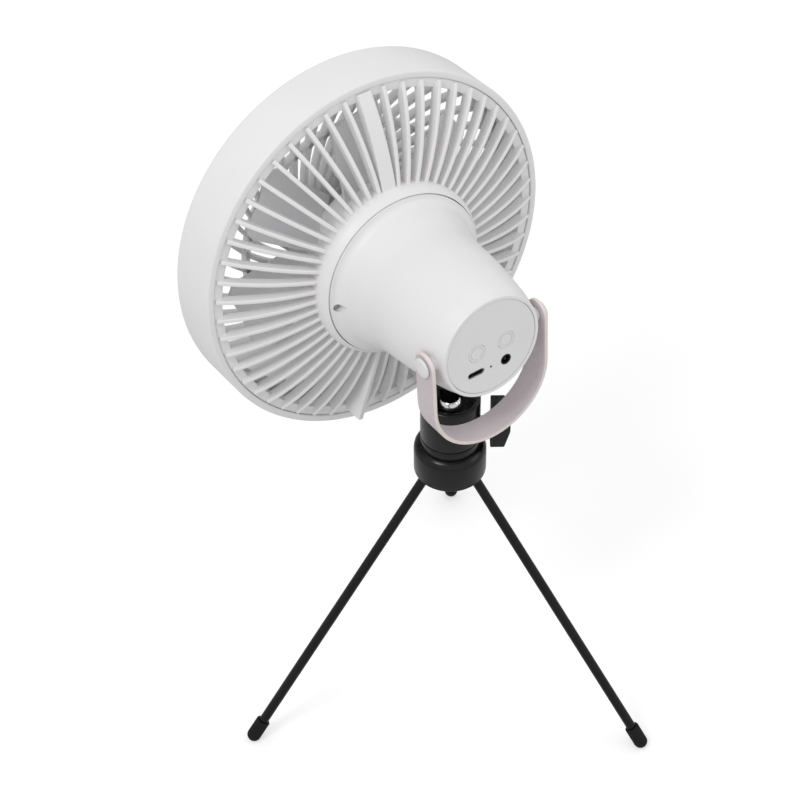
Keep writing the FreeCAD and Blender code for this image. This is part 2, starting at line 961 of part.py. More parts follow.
def usb_c_port():
    outer = usb_slot(usb_width, usb_height, board_back, cap_outer - 0.3)
    inner = usb_slot(usb_width - 2 * usb_wall, usb_height - 2 * usb_wall, board_back + 1, cap_outer)
    tongue = Part.makeBox(
        usb_tongue_width,
        cap_inner - board_back,
        usb_tongue,
        Vector(-usb_across - usb_tongue_width / 2, board_back + 0.5, port_row - usb_tongue / 2),
    )
    return in_head(outer.cut(inner).fuse(tongue).removeSplitter())


def dc_jack():
    top = cap_inner - joint_clearance
    body = rod_in_head(jack_radius, board_back, top, jack_across, port_row)
    bore = rod_in_head(jack_bore, board_back + 1, top + 1, jack_across, port_row)
    pin = rod_in_head(jack_pin_radius, board_back + 0.5, cap_inner + 0.8, jack_across, port_row)
    return in_head(body.cut(bore).fuse(pin).removeSplitter())


def indicator_lens():
    return in_head(rod_in_head(lens_radius, board_back, cap_outer, lens_across, port_row))


# Cells

cell_orbit = cell_spacing / math.sqrt(3)
cradle_front = plate_back + cradle_front_gap
cell_start = cradle_front + cradle_thickness / 2


def cell_spot(index):
    """Centre of one of the three cells, seen from behind."""
    angle = math.radians(90 + 120 * index)
    return (cell_orbit * math.cos(angle), cell_orbit * math.sin(angle))


def battery_cells():
    cells = []
    for index in range(3):
        across, up = cell_spot(index)
        end = cell_start + cell_length
        can = rod_in_head(cell_radius, cell_start, end - cell_button_height, across, up)
        tip = rod_in_head(cell_button_radius, end - cell_button_height, end, across, up)
        cells.append(can.fuse(tip).removeSplitter())
    return in_head(Part.makeCompound(cells))


def cradle_plate(radius, start):
    plate = rod_in_head(radius, start, start + cradle_thickness)
    holes = []
    for index in range(3):
        across, up = cell_spot(index)
        holes.append(rod_in_head(
            cell_radius + joint_clearance,
            cell_start,
            start + cradle_thickness + 1,
            across,
            up,
        ))
    return plate.cut(holes)


def battery_cradle():
    front_radius = hub_screw_orbit - hub_screw_recess_radius - hub_wall - swing_gap
    front = cradle_plate(front_radius, cradle_front)
    rear_start = board_front - 2 * cradle_thickness
    rear = cradle_plate(hub_mouth_radius - seat_gap, rear_start)
    spine = rod_in_head(cradle_wall / 2, cradle_front, rear_start + cradle_thickness)
    feet = []
    for side in (-1, 1):
        foot = rod_in_head(cradle_wall, plate_back, cradle_front, side * cell_orbit * 2, 0)
        feet.append(foot)
    return in_head(front.multiFuse([rear, spine] + feet).removeSplitter())


# Motor and impeller

tube_front = plate_station - bearing_tube_length
stator_back = plate_station - 3.0
rotor_back = plate_station - rotor_from_plate
rotor_front = rotor_back - rotor_length


def motor_bearings():
    outer = bearing_radius - joint_clearance / 2
    inner = shaft_radius + joint_clearance / 2
    front = flat_ring(inner, outer, tube_front, tube_front + bearing_width)
    back = flat_ring(inner, outer, plate_back - bearing_width, plate_back)
    return in_head(Part.makeCompound([front, back]))


def motor_stator():
    front = stator_back - stator_length
    core = flat_ring(bearing_tube_radius, stator_core_radius, front, stator_back)
    ring = flat_ring(stator_radius - stator_shoe_depth, stator_radius, front, stator_back)
    half_gap = (360 / stator_teeth - stator_shoe_angle) / 2
    gap_width = 2 * stator_radius * math.sin(math.radians(half_gap))
    opening = Part.makeBox(
        2 * stator_shoe_depth,
        stator_length,
        gap_width,
        Vector(-stator_radius - stator_shoe_depth / 2, front, -gap_width / 2),
    )
    tooth = Part.makeBox(
        stator_radius - stator_shoe_depth / 2 - stator_core_radius + 1,
        stator_length,
        stator_tooth_width,
        Vector(-stator_radius + stator_shoe_depth / 2, front, -stator_tooth_width / 2),
    )
    pitch = 360 / stator_teeth
    openings = [around_head(opening, (index + 0.5) * pitch) for index in range(stator_teeth)]
    teeth = [around_head(tooth, index * pitch) for index in range(stator_teeth)]
    return in_head(core.multiFuse([ring.cut(openings)] + teeth).removeSplitter())


def motor_rotor():
    inner = stator_radius + rotor_gap
    outer = inner + rotor_wall
    can = turned_in_head([
        (0, rotor_front),
        (outer, rotor_front),
        (outer, rotor_back),
        (inner, rotor_back),
        (inner, rotor_front + rotor_wall),
        (0, rotor_front + rotor_wall),
    ])
    shaft = rod_in_head(shaft_radius, rotor_front, plate_back + shaft_tail)
    return in_head(can.fuse(shaft).removeSplitter())


def blade_section(radius, chord, pitch):
    """Cambered section of a blade, square to a radius on the viewer's right."""
    turn = math.radians(pitch)
    along = Vector(0, math.sin(turn), math.cos(turn))
    off = Vector(0, math.cos(turn), -math.sin(turn))
    centre = Vector(-radius, blade_station, 0)

    def spot(run, rise):
        return centre + along * run + off * rise

    half = chord / 2
    skin = blade_thickness / 2
    lower = Part.Arc(spot(-half, -skin), spot(0, blade_camber - skin), spot(half, -skin)).toShape()
    end = Part.LineSegment(spot(half, -skin), spot(half, skin)).toShape()
    upper = Part.Arc(spot(half, skin), spot(0, blade_camber + skin), spot(-half, skin)).toShape()
    start = Part.LineSegment(spot(-half, skin), spot(-half, -skin)).toShape()
    return Part.Wire([lower, end, upper, start])


def impeller_blade():
    root = impeller_hub_radius - 2 * impeller_hub_wall
    sections = [
        blade_section(root, blade_root_chord, blade_root_pitch),
        blade_section(blade_tip_radius, blade_tip_chord, blade_tip_pitch),
    ]
    blade = Part.makeLoft(sections, True, True)
    return blade.common(blade_plan(root))


def blade_plan(root):
    """The blade's outline with its two round tip corners, as a block through the blade."""
    turn = math.radians((blade_root_pitch + blade_tip_pitch) / 2)
    along = Vector(0, math.sin(turn), math.cos(turn))
    off = Vector(0, math.cos(turn), -math.sin(turn))
    half = blade_tip_chord / 2
    shoulder = blade_tip_radius - blade_corner_round
    inner = half - blade_corner_round
    outline = [(root - 1, -half), (shoulder, -half)]
    outline.append((corner((shoulder, -inner), blade_corner_round, -45), (blade_tip_radius, -inner)))
    outline.append(((math.hypot(blade_tip_radius, inner), 0), (blade_tip_radius, inner)))
    outline.append((corner((shoulder, inner), blade_corner_round, 45), (shoulder, half)))
    outline.append((root - 1, half))
    base = Vector(0, blade_station, 0) - off * half
    face = path_face(outline, lambda a, b: base + Vector(-a, 0, 0) + along * b)
    return face.extrude(off * (2 * half))


def impeller():
    rotor_outer = stator_radius + rotor_gap + rotor_wall
    back = plate_station - impeller_clear_plate
    front = rotor_front - impeller_hub_wall
    nose = (impeller_hub_radius - impeller_hub_round, front + impeller_hub_round)
    inner = impeller_hub_radius - impeller_hub_wall
    steps = [(0, front)]
    steps += round_steps(nose, impeller_hub_round, -90, 0)
    steps += [
        (impeller_hub_radius, back),
        (inner, back),
        (inner, rotor_front + impeller_hub_wall),
        (rotor_outer + impeller_hub_wall, rotor_front + impeller_hub_wall),
        (rotor_outer + impeller_hub_wall, rotor_back),
        (rotor_outer, rotor_back),
        (rotor_outer, rotor_front),
        (0, rotor_front),
    ]
    hub = turned_in_head(steps)
    hollow = rod_in_head(inner, rotor_front + impeller_hub_wall, back + 1)
    blade = impeller_blade().cut(hollow)
    keep = turned_in_head([
        (rotor_outer, front),
        (blade_tip_radius + 5, front - 20),
        (blade_tip_radius + 5, back + 20),
        (rotor_outer, back),
    ])
    blade = blade.common(keep)
    blades = [around_head(blade, index * 360 / blade_count) for index in range(blade_count)]
    return in_head(hub.multiFuse(blades))


# Carry strap

def strap_pin_hole():
    outer = strap_half_width + strap_thickness
    inner = hub_mouth_radius
    return Part.makeCylinder(
        strap_pin_radius + joint_clearance / 2,
        outer - inner,
        Vector(inner, strap_station, 0),
        Vector(1, 0, 0),
    )


def strap_pins():
    start = hub_mouth_radius + seat_gap
    outer = strap_half_width + strap_thickness / 2
    head_start = outer + seat_gap
    shank = Part.makeCylinder(
        strap_pin_radius,
        head_start - start,
        Vector(start, strap_station, 0),
        Vector(1, 0, 0),
    )
    rise = strap_pin_head_height
    outline = [
        (0, head_start),
        (strap_pin_head_radius, head_start),
        (corner((strap_pin_head_radius - rise, head_start), rise, 45), (strap_pin_head_radius - rise, head_start + rise)),
        (0, head_start + rise),
    ]
    face = path_face(outline, lambda r, x: Vector(x, strap_station + r, 0))
    head = face.revolve(Vector(0, strap_station, 0), Vector(1, 0, 0), 360)
    pin = shank.fuse(head).removeSplitter()
    return in_head(Part.makeCompound([around_head(pin, side) for side in (0, 180)]))


def carry_strap():
    """A band bent to a deep U, its ends round about the two pins."""
    outer = strap_half_width + strap_thickness / 2
    inner = strap_half_width - strap_thickness / 2
    half = strap_breadth / 2
    drop = -strap_straight
    section = [
        (outer, half),
        (outer, drop),
        ((0, drop - outer), (-outer, drop)),
        (-outer, half),
        (-inner, half),
        (-inner, drop),
        ((0, drop - inner), (inner, drop)),
        (inner, half),
    ]
    band = path_face(section, lambda x, z: Vector(x, -half, z)).extrude(Vector(0, strap_breadth, 0))
    foot = drop - outer - 1
    side = [(-half, 0), ((0, half), (half, 0)), (half, foot), (-half, foot)]
    band = band.common(prism_x(side, -outer - 1, outer + 1))
    hole = Part.makeCylinder(
        strap_pin_radius + joint_clearance,
        2 * outer + 2,
        Vector(-outer - 1, 0, 0),
        Vector(1, 0, 0),
    )
    band = band.cut(hole)
    band.rotate(Vector(0, 0, 0), Vector(1, 0, 0), -head_pitch + strap_lean)
    band.translate(Vector(0, strap_station, 0))
    return in_head(band)


nodes = {
    "tripod_collar": tripod_collar,
    "leg_carrier": leg_carrier,
    "leg_pivot_pins": leg_pivot_pins,
    "centre_screw": centre_screw,
    "housing_base": housing_base,
    "ball_housing": ball_housing,
    "clamp_cup": clamp_cup,
    "clamp_screw": clamp_screw,
    "clamp_knob": clamp_knob,
    "lock_ball": lock_ball,
    "ball_stem": ball_stem,
    "camera_platform": camera_platform,
    "platform_pad": platform_pad,
    "mount_stud": mount_stud,
    "drum_shroud": drum_shroud,
    "rear_grille": rear_grille,
    "front_grille": front_grille,
    "lamp_board": lamp_board,
    "lamp_lens": lamp_lens,
    "hub_shell": hub_shell,
    "hub_screws": hub_screws,
    "socket_insert": socket_insert,
    "end_cap": end_cap,
    "button_switches": button_switches,
    "control_board": control_board,
    "usb_c_port": usb_c_port,
    "dc_jack": dc_jack,
    "indicator_lens": indicator_lens,
    "battery_cells": battery_cells,
    "battery_cradle": battery_cradle,
    "motor_bearings": motor_bearings,
    "motor_stator": motor_stator,
    "motor_rotor": motor_rotor,
    "impeller": impeller,
    "strap_pins": strap_pins,
    "carry_strap": carry_strap,
}

os.makedirs("parts", exist_ok=True)


def write(node, shape):
    shape.exportStep("parts/" + node + ".step")
    print(node, "solids", len(shape.Solids), "valid", shape.isValid(), "volume", round(shape.Volume, 1))


for node, make in nodes.items():
    write(node, make())
for side, name in ((-1, "fan_button"), (1, "light_button")):
    write(name, push_button(side))
for letter, angle in zip("abc", leg_angles):
    write("leg_rod_" + letter, leg_rod(angle))
    write("leg_foot_" + letter, leg_foot(angle))
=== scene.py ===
# %% [markdown]
# A camping fan on a small stand, dressed for a studio picture. The engineering model comes first:
# it is loaded as a fixed frame, every piece in its place, and nothing in it is moved. The sizes
# below are in millimetres, and a piece is scaled to metres only when it is put in place.

# %% Load the frame
import json
import math
import bmesh
import bpy
from mathutils import Matrix, Vector
from mathutils.geometry import interpolate_bezier


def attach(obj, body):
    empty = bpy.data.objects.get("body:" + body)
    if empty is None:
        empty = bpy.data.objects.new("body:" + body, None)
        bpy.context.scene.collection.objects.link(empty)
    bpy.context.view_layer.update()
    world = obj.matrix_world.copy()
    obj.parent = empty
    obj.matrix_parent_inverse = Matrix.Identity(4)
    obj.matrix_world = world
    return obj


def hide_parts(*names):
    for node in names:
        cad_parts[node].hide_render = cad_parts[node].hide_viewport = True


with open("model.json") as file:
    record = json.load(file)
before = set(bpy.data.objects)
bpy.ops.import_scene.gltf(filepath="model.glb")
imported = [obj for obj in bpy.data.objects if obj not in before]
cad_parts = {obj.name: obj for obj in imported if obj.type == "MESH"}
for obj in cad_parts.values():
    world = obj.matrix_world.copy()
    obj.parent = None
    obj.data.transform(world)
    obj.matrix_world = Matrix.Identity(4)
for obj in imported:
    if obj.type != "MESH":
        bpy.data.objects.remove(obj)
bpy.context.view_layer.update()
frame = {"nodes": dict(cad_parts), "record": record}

# %% [markdown]
# Colours are picked from screens, so they are written as hex codes. A renderer adds light
# in linear numbers, so one function converts them.

# %% Colour and node helpers


def linear(code):
    """Turn an sRGB hex code into the linear colour that a shader works in."""
    channels = [int(code[i:i + 2], 16) / 255 for i in (1, 3, 5)]
    curve = [c / 12.92 if c <= 0.04045 else ((c + 0.055) / 1.055) ** 2.4 for c in channels]
    return (*curve, 1.0)


def add_node(tree, kind, settings=None, values=None, links=None):
    """Add a node, choose its settings, fill its sockets, and link others to it."""
    node = tree.nodes.new(kind)
    for name, value in (settings or {}).items():
        setattr(node, name, value)
    for name, value in (values or {}).items():
        node.inputs[name].default_value = value
    for name, socket in (links or {}).items():
        tree.links.new(socket, node.inputs[name])
    return node


print("white in linear light:", [round(c, 3) for c in linear("#FFFFFF")])

# %% [markdown]
# Nearly everything here is moulded plastic. A mould leaves two marks: a fine grain from its
# spark-eroded steel, and a slow drift in gloss where the plastic cooled at different speeds.
# Both can be made from noise: one small and used as a bump, one large and used on roughness.
# One function makes the shared surface, and each finish below gives it its own sizes.

# %% The shared surface


def surface(name, colour, second, patch_mm, grain_mm, grain_depth_mm, gloss, shader_values):
    """A material whose colour drifts between two close tones, with a grain and uneven gloss."""
    material = bpy.data.materials.new(name)
    material.use_nodes = True
    tree = material.node_tree
    tree.nodes.clear()
    place = add_node(tree, "ShaderNodeTexCoord").outputs["Object"]
    patches = add_node(
        tree, "ShaderNodeTexNoise",
        values={"Scale": 1000 / patch_mm, "Detail": 3.0, "Roughness": 0.55},
        links={"Vector": place},
    )
    tones = add_node(tree, "ShaderNodeValToRGB", links={"Fac": patches.outputs["Fac"]})
    tones.color_ramp.elements[0].position = 0.35
    tones.color_ramp.elements[0].color = linear(colour)
    tones.color_ramp.elements[1].position = 0.65
    tones.color_ramp.elements[1].color = linear(second)
    shine = add_node(
        tree, "ShaderNodeMapRange",
        values={"From Min": 0.3, "From Max": 0.7, "To Min": gloss[0], "To Max": gloss[1]},
        links={"Value": patches.outputs["Fac"]},
    )
    grain = add_node(
        tree, "ShaderNodeTexNoise",
        values={"Scale": 1000 / grain_mm, "Detail": 2.0},
        links={"Vector": place},
    )
    relief = add_node(
        tree, "ShaderNodeBump",
        values={"Strength": 1.0, "Distance": grain_depth_mm / 1000},
        links={"Height": grain.outputs["Fac"]},
    )
    shader = add_node(
        tree, "ShaderNodeBsdfPrincipled",
        values=shader_values,
        links={
            "Base Color": tones.outputs["Color"],
            "Roughness": shine.outputs["Result"],
            "Normal": relief.outputs["Normal"],
        },
    )
    add_node(tree, "ShaderNodeOutputMaterial", links={"Surface": shader.outputs["BSDF"]})
    print("finish:", name)
    return material


# %% [markdown]
# The housing is white ABS, moulded and left as it came out. It looks soft and bright, with wide
# dull highlights. The grain is really about 0.1 mm, too fine to show, so it is drawn at 0.5 mm.

# %% White plastics
housing_abs = surface(
    "moulded_white_abs", "#E9E8E8", "#ECEBEB", 60, 0.5, 0.004, (0.36, 0.46), {"IOR": 1.53},
)
cap_abs = surface(
    "moulded_pale_abs_cap", "#E5E4E5", "#E8E7E8", 40, 0.4, 0.005, (0.42, 0.52), {"IOR": 1.53},
)
# The blades get a white lighter than the polypropylene's own. This is painted light that makes up for the
# shade they sit in under the grille fins.
blade_plastic_lightened_for_shade = surface(
    "white_polypropylene_painted_lighter", "#EDEDEE", "#E8E8EA", 50, 0.6, 0.004, (0.38, 0.5), {"IOR": 1.49},
)
lamp_polycarbonate = surface(
    "frosted_polycarbonate", "#EFEEE8", "#EBEAE3", 30, 0.4, 0.01, (0.5, 0.62),
    {"IOR": 1.58, "Subsurface Weight": 0.15, "Subsurface Scale": 0.002},
)

# %% [markdown]
# The carrying strap is a coated band: a matt film in a pale pinkish grey, with a finer cream line
# of edge paint. The film has a leather-like grain of about half a millimetre, and a little sheen.

# %% Strap finishes
strap_film = surface(
    "coated_strap_film", "#D2C8CC", "#CAC0C4", 18, 0.45, 0.03, (0.55, 0.68),
    {"IOR": 1.5, "Sheen Weight": 0.1},
)
strap_edge_paint = surface(
    "strap_edge_paint", "#E9DEDA", "#E4D8D4", 12, 0.6, 0.02, (0.5, 0.6), {"IOR": 1.5},
)

# %% [markdown]
# The stand is black all over, but it isn't one black. The collar and the ball housing are satin
# glass-filled nylon, the rods are steel under a glossy stoved paint, the platform is anodised
# aluminium, and the feet and the pad are rubber, which hardly shines at all.

# %% Black finishes
stand_nylon = surface(
    "moulded_black_nylon", "#0B0B0B", "#0F0F0F", 14, 0.35, 0.008, (0.2, 0.28),
    {"IOR": 1.53, "Specular IOR Level": 0.3},
)
rod_paint = surface(
    "stoved_black_paint", "#080808", "#0B0B0B", 20, 0.8, 0.003, (0.16, 0.26),
    {"IOR": 1.5, "Specular IOR Level": 0.2, "Coat Weight": 0.15, "Coat Roughness": 0.1},
)
black_anodising = surface(
    "black_anodised_aluminium", "#1C1C1E", "#242426", 8, 0.3, 0.004, (0.32, 0.42),
    {"Metallic": 0.7},
)
foot_rubber = surface(
    "black_rubber", "#0D0D0D", "#131212", 6, 0.3, 0.03, (0.62, 0.8),
    {"IOR": 1.52, "Specular IOR Level": 0.25},
)
port_plastic = surface(
    "black_socket_plastic", "#0B0B0B", "#101010", 5, 0.3, 0.004, (0.35, 0.5), {"IOR": 1.5},
)
inner_plastic = surface(
    "dark_inner_plastic", "#2A2A2C", "#323234", 20, 0.5, 0.006, (0.5, 0.6), {"IOR": 1.5},
)

# %% [markdown]
# Metals keep the shader's own index of refraction, and take their look from colour and roughness.
# Chrome is a mirror with a few fine marks. Plain steel and brass are a little dull.

# %% Metals
ball_chrome = surface(
    "polished_chrome", "#D8D8DA", "#E2E2E4", 6, 1.5, 0.002, (0.05, 0.1), {"Metallic": 1.0},
)
plain_steel = surface(
    "turned_steel", "#A3A3A1", "#B5B5B3", 3, 0.3, 0.004, (0.26, 0.38), {"Metallic": 1.0},
)
insert_brass = surface(
    "turned_brass", "#B8934E", "#C6A35E", 4, 0.3, 0.004, (0.26, 0.36), {"Metallic": 1.0},
)
cell_film = surface(
    "shrink_film_blue", "#3F6DA6", "#4776B0", 15, 1.0, 0.006, (0.25, 0.35), {"IOR": 1.5},
)
board_lacquer = surface(
    "green_board_lacquer", "#1E5A37", "#26683F", 2.5, 0.6, 0.01, (0.3, 0.42), {"IOR": 1.55},
)

# %% [markdown]
# Every piece of the frame gets the finish of its slot in the record. The pieces that are modelled
# again below take theirs one by one.

# %% Dress the frame
finish_of_slot = {
    "white_plastic": housing_abs,
    "cap_plastic": cap_abs,
    "blade_plastic": blade_plastic_lightened_for_shade,
    "strap_rubber": strap_film,
    "black_plastic": stand_nylon,
    "black_metal": rod_paint,
    "black_aluminium": black_anodising,
    "black_rubber": foot_rubber,
    "chrome": ball_chrome,
    "steel": plain_steel,
    "brass": insert_brass,
    "board": board_lacquer,
    "cell_can": cell_film,
    "inner_plastic": inner_plastic,
    "lamp_lens": lamp_polycarbonate,
    "port_black": port_plastic,
}
slot_of_node = {part["node"]: part["material_slot"] for part in frame["record"]["subparts"]}
for node_name, node in frame["nodes"].items():
    for place_in_node in node.material_slots:
        place_in_node.material = finish_of_slot[slot_of_node[node_name]]
print("dressed", len(frame["nodes"]), "pieces of the frame")

# %% [markdown]
# Round things are turned: a half outline of radius and height, swung once round. The corners of
# the outline are rounded first with a bevel, because no moulded or machined edge is quite sharp.
# A piece is finished by giving it smooth shading that still breaks at real edges.

# %% Modelling helpers


def turned(outline, rounds=(), steps=128):
    """Swing a closed outline of (radius, height) once round +Z. rounds are (corner, radius)."""
    mesh = bmesh.new()
    corners = [mesh.verts.new((radius, 0, height)) for radius, height in outline]
    for first, second in zip(corners, corners[1:] + corners[:1]):
        mesh.edges.new((first, second))
    for index, radius in rounds:
        bmesh.ops.bevel(
            mesh, geom=[corners[index]], offset=radius, offset_type="OFFSET", affect="VERTICES",
            segments=5, profile=0.5, material=-1,
        )
    bmesh.ops.spin(
        mesh, geom=mesh.verts[:] + mesh.edges[:], axis=(0, 0, 1), cent=(0, 0, 0),
        angle=math.tau, steps=steps, use_merge=True, use_duplicate=False,
    )
    bmesh.ops.remove_doubles(mesh, verts=mesh.verts, dist=1e-4)
    on_axis = [edge for edge in mesh.edges if not edge.link_faces]
    bmesh.ops.delete(mesh, geom=on_axis, context="EDGES")
    bmesh.ops.recalc_face_normals(mesh, faces=mesh.faces)
    return mesh


def moved(mesh, *steps):
    """Move a mesh by matrices, the last one first, as they are written in mathematics."""
    whole = Matrix.Identity(4)
    for step in steps:
        whole = whole @ step
    bmesh.ops.transform(mesh, matrix=whole, verts=mesh.verts)
    return mesh


def joined(*meshes):
    """Put several meshes into the first."""
    for extra in meshes[1:]:
        copy = bpy.data.meshes.new("copy")
        extra.to_mesh(copy)
        meshes[0].from_mesh(copy)
        extra.free()
        bpy.data.meshes.remove(copy)
    return meshes[0]


def finished(name, mesh, body, materials, replaces=(), sharp=30):
    """Make an object of a mesh in metres, and let it ride on its body."""
    data = bpy.data.meshes.new(name)
    mesh.to_mesh(data)
    mesh.free()
    data.shade_smooth()
    data.set_sharp_from_angle(angle=math.radians(sharp))
    for material in materials:
        data.materials.append(material)
    piece = bpy.data.objects.new(name, data)
    bpy.context.scene.collection.objects.link(piece)
    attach(piece, body)
    if replaces:
        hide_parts(*replaces)
    print(name, "faces", len(data.polygons))
    return piece


def turn(angle, axis):
    return Matrix.Rotation(math.radians(angle), 4, axis)


def shift(x, y, z):
    return Matrix.Translation((x, y, z))


metres = Matrix.Scale(0.001, 4)
print("a turned ring of 8 steps has", len(turned([(1, 0), (2, 0), (2, 1), (1, 1)], steps=8).faces), "faces")

# %% [markdown]
# The head sits on the ball's stem, and leans with it by 6 degrees. Head pieces are turned with
# their axis along +Z, which stands for "backwards from the drum's rim", and then laid down: local
# X stays X, and local Y points down in the head.

# %% Places on the object
ball_height = 190.2
head_lean = 6.0
stem_place = metres @ shift(0, 0, ball_height) @ turn(head_lean, "X")
head_frame = stem_place @ shift(0, -53.5, 59.7)
head_place = head_frame @ turn(-90, "X")
print("hub axis meets the rim plane at", [round(v, 4) for v in head_place.to_translation()])

# %% [markdown]
# The drum is one white moulding. Seen from behind, its rear edge is a soft roll, then comes a
# fine shadow line, and then the grille. The outline is turned in fine steps, because this circle
# is the largest curve in the picture and any corner in it would show.

# %% Drum
rim_radius = 93.5
drum = turned(
    [
        (88.3, -30.0), (88.3, -27.6), (91.3, -27.6), (91.3, -5.0),
        (90.0, -5.0), (90.0, 0.0), (rim_radius, 0.0), (rim_radius, -30.0),
    ],
    rounds=[(7, 3.0), (6, 1.1), (5, 0.4), (0, 0.5)],
    steps=240,
)
finished(
    "drum_wall", moved(drum, head_place), "fan_head", [housing_abs],
    ["drum_shroud"],
)

# %% [markdown]
# The rear grille is the fan's showpiece: 53 places round the hub, most of them slim fins whose
# backs rise in one bow from the outer band to the collar round the hub. A fin has the same
# section all along, so it is a rectangle swept along an arc. The arc is given by three points,
# and the operator that sweeps is the same spin that turns rings.

# %% Sweep along an arc


def swept_along_arc(section, start, middle, end, steps):
    """Sweep a section of (out, across) along the arc through three points of the XZ plane."""
    (ax, az), (bx, bz), (cx, cz) = start, middle, end
    scale = 2 * (ax * (bz - cz) + bx * (cz - az) + cx * (az - bz))
    a, b, c = ax * ax + az * az, bx * bx + bz * bz, cx * cx + cz * cz
    centre_x = (a * (bz - cz) + b * (cz - az) + c * (az - bz)) / scale
    centre_z = (a * (cx - bx) + b * (ax - cx) + c * (bx - ax)) / scale
    centre = Vector((centre_x, 0, centre_z))
    from_angle = math.atan2(ax - centre_x, az - centre_z)
    to_angle = math.atan2(cx - centre_x, cz - centre_z)
    sweep = (to_angle - from_angle + math.pi) % math.tau - math.pi
    out = (Vector((ax, 0, az)) - centre).normalized()
    mesh = bmesh.new()
    verts = []
    for along_out, across in section:
        verts.append(mesh.verts.new(Vector((ax, across, az)) + out * along_out))
    face = mesh.faces.new(verts)
    bmesh.ops.spin(
        mesh, geom=[face], axis=(0, 1, 0), cent=centre, angle=sweep, steps=steps,
        use_merge=False, use_duplicate=False,
    )
    if not face.is_valid:
        mesh.faces.new(verts)
    bmesh.ops.recalc_face_normals(mesh, faces=mesh.faces)
    return mesh


def repeated(mesh, angles, axis="Z"):
    """Copies of a mesh turned about an axis; the first mesh is used up."""
    source = bpy.data.meshes.new("repeat")
    mesh.to_mesh(source)
    mesh.free()
    whole = bmesh.new()
    for angle in angles:
        seen = set(whole.verts)
        whole.from_mesh(source)
        fresh = [vert for vert in whole.verts if vert not in seen]
        bmesh.ops.transform(whole, matrix=turn(angle, axis), verts=fresh)
    bpy.data.meshes.remove(source)
    return whole


fin_count = 53
fin_pitch = 360 / fin_count
print("fins stand", round(fin_pitch, 3), "degrees apart")

# %% [markdown]
# Three of the 53 places hold another rib: a broad one at the top, and two slim ones below whose
# backs run out nearly level and end bluntly as feet. The feet are plates with a bevelled edge.
# Fin and rib start on +X and are turned to their places, the top one first.

# %% Rear grille
fin_tip = (89.4, 0.7)
fin_crown = (67.0, 10.4)
fin_root = (43.6, 15.4)


def bowed_rib(half, top_cut, side_cut):
    """A rectangle with its two outer corners cut, swept along the grille's bow."""
    depth = 5.0
    section = [
        (0, -half + top_cut), (-side_cut, -half), (-depth, -half),
        (-depth, half), (-side_cut, half), (0, half - top_cut),
    ]
    return swept_along_arc(section, fin_tip, fin_crown, fin_root, 10)


def foot_rib():
    """A plate whose back runs out nearly level and ends bluntly over the band."""
    half = 1.3
    mesh = bmesh.new()
    side = [
        (43.6, 15.4), (87.6, 11.0), (87.6, -1.7), (86.1, -1.7), (84.1, -5.0), (67.0, 5.4), (43.6, 10.4),
    ]
    face = mesh.faces.new([mesh.verts.new((x, -half, z)) for x, z in side])
    grown = bmesh.ops.extrude_face_region(mesh, geom=[face])
    far = [item for item in grown["geom"] if isinstance(item, bmesh.types.BMVert)]
    bmesh.ops.translate(mesh, vec=(0, 2 * half, 0), verts=far)
    bmesh.ops.recalc_face_normals(mesh, faces=mesh.faces)
    bmesh.ops.bevel(
        mesh, geom=mesh.edges, offset=0.5, offset_type="OFFSET", affect="EDGES",
        segments=2, profile=0.5, material=-1,
    )
    return mesh


foot_places = (24, 29)
slim_places = [i for i in range(1, fin_count) if i not in foot_places]
fins = repeated(bowed_rib(1.0, 0.45, 0.35), [-90 + i * fin_pitch for i in slim_places])
feet = repeated(foot_rib(), [-90 + i * fin_pitch for i in foot_places])
crest = moved(bowed_rib(3.7, 0.5, 0.5), turn(-90, "Z"))
band = turned(
    [(85.1, -6.0), (89.8, -6.0), (89.8, -0.7), (85.1, -0.7)],
    rounds=[(2, 0.5), (3, 0.3)],
    steps=212,
)
collar = turned(
    [
        (4.0, 8.5), (44.5, 8.5), (44.5, 17.6), (41.8, 22.0), (41.75, 11.5), (4.0, 11.5),
    ],
    rounds=[(3, 0.8), (2, 1.8)],
    steps=160,
)
tube = turned([(4.0, -14.0), (6.2, -14.0), (6.2, 9.5), (4.0, 9.5)], steps=48)
grille = joined(band, collar, tube, fins, feet, crest)
finished(
    "grille_moulding", moved(grille, head_place), "fan_head", [housing_abs],
    ["rear_grille"], sharp=28,
)

# %% [markdown]
# The front grille can't be seen from behind except as slanted lines through the blades. Its ribs
# swirl from the lamp cup to the ring, which is how such guards straighten the air. A rib is swept
# along an arc in the flat, and then stood up to the drum's front.

# %% Front grille
rib_swirl = 56.0
rib_bow = 36.4
rib_count = 40


def polar(radius, angle):
    return (radius * math.cos(math.radians(angle)), radius * math.sin(math.radians(angle)))


def swirl_rib():
    half = 1.0
    section = [(-half, 0.3), (-half + 0.3, 0), (half - 0.3, 0), (half, 0.3), (half, 5.0), (-half, 5.0)]
    rib = swept_along_arc(section, polar(25.8, 0), polar(55.4, rib_bow), polar(85.2, rib_swirl), 12)
    return moved(rib, shift(0, 0, -30), turn(90, "X"))


ribs = repeated(swirl_rib(), [i * 360 / rib_count for i in range(rib_count)])
ring = turned([(84.3, -30.0), (88.1, -30.0), (88.1, -25.0), (84.3, -25.0)], [(0, 0.5), (1, 0.3)], steps=212)
middle_ring = turned([(56.0, -30.0), (58.0, -30.0), (58.0, -25.0), (56.0, -25.0)], [(0, 0.3), (1, 0.3)])
lamp_cup = turned(
    [(0, -25.0), (22.7, -25.0), (22.7, -30.0), (26.5, -30.0), (26.5, -24.0), (0, -24.0)],
    [(2, 0.3), (3, 0.8), (4, 0.6)],
)
front = joined(ring, middle_ring, lamp_cup, ribs)
bmesh.ops.recalc_face_normals(front, faces=front.faces)
finished(
    "front_guard", moved(front, head_place), "fan_head", [housing_abs],
    ["front_grille"], sharp=28,
)

# %% [markdown]
# The lamp in the middle of the front is a shallow frosted dome over its board. Three points give
# the dome's outline, and a corner bevel makes the bow between them.

